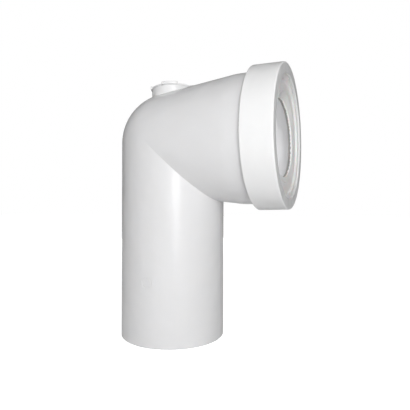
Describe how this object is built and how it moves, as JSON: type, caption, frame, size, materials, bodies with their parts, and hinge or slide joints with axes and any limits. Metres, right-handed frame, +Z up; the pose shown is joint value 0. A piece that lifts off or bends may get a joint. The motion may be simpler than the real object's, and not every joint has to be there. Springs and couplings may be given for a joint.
{
  "type": "soil pipe connector elbow",
  "caption": "Ninety degree moulded elbow joining a WC pan outlet to a vertical soil pipe, with lip-sealed socket, retaining collar and plugged vent boss.",
  "frame": {"origin": "centre of the spigot's open end, on the spigot's axis", "axes": "+Z up the spigot towards the boss, +X out of the socket's mouth, +Y by the right-hand rule"},
  "size_m": [0.1824, 0.142, 0.2757],
  "materials": {
    "body_plastic": "satin moulded polypropylene, white",
    "collar_plastic": "satin moulded polypropylene, white",
    "seal_elastomer": "matt moulded thermoplastic elastomer, off-white",
    "plug_plastic": "satin moulded polypropylene, white",
    "ring_rubber": "matt black rubber"
  },
  "bodies": {
    "elbow": {"elbow_body": "body_plastic"},
    "collar": {"retaining_collar": "collar_plastic", "inlet_seal": "seal_elastomer"},
    "plug": {"boss_plug": "plug_plastic", "boss_seal_ring": "ring_rubber"}
  },
  "joints": [
    {"name": "collar_pull", "type": "slide", "parent": "elbow", "child": "collar", "axis": [1, 0, 0], "range_m": [0, 0.05]},
    {"name": "plug_pull", "type": "slide", "parent": "elbow", "child": "plug", "axis": [0, 0, 1], "range_m": [0, 0.03]}
  ]
}
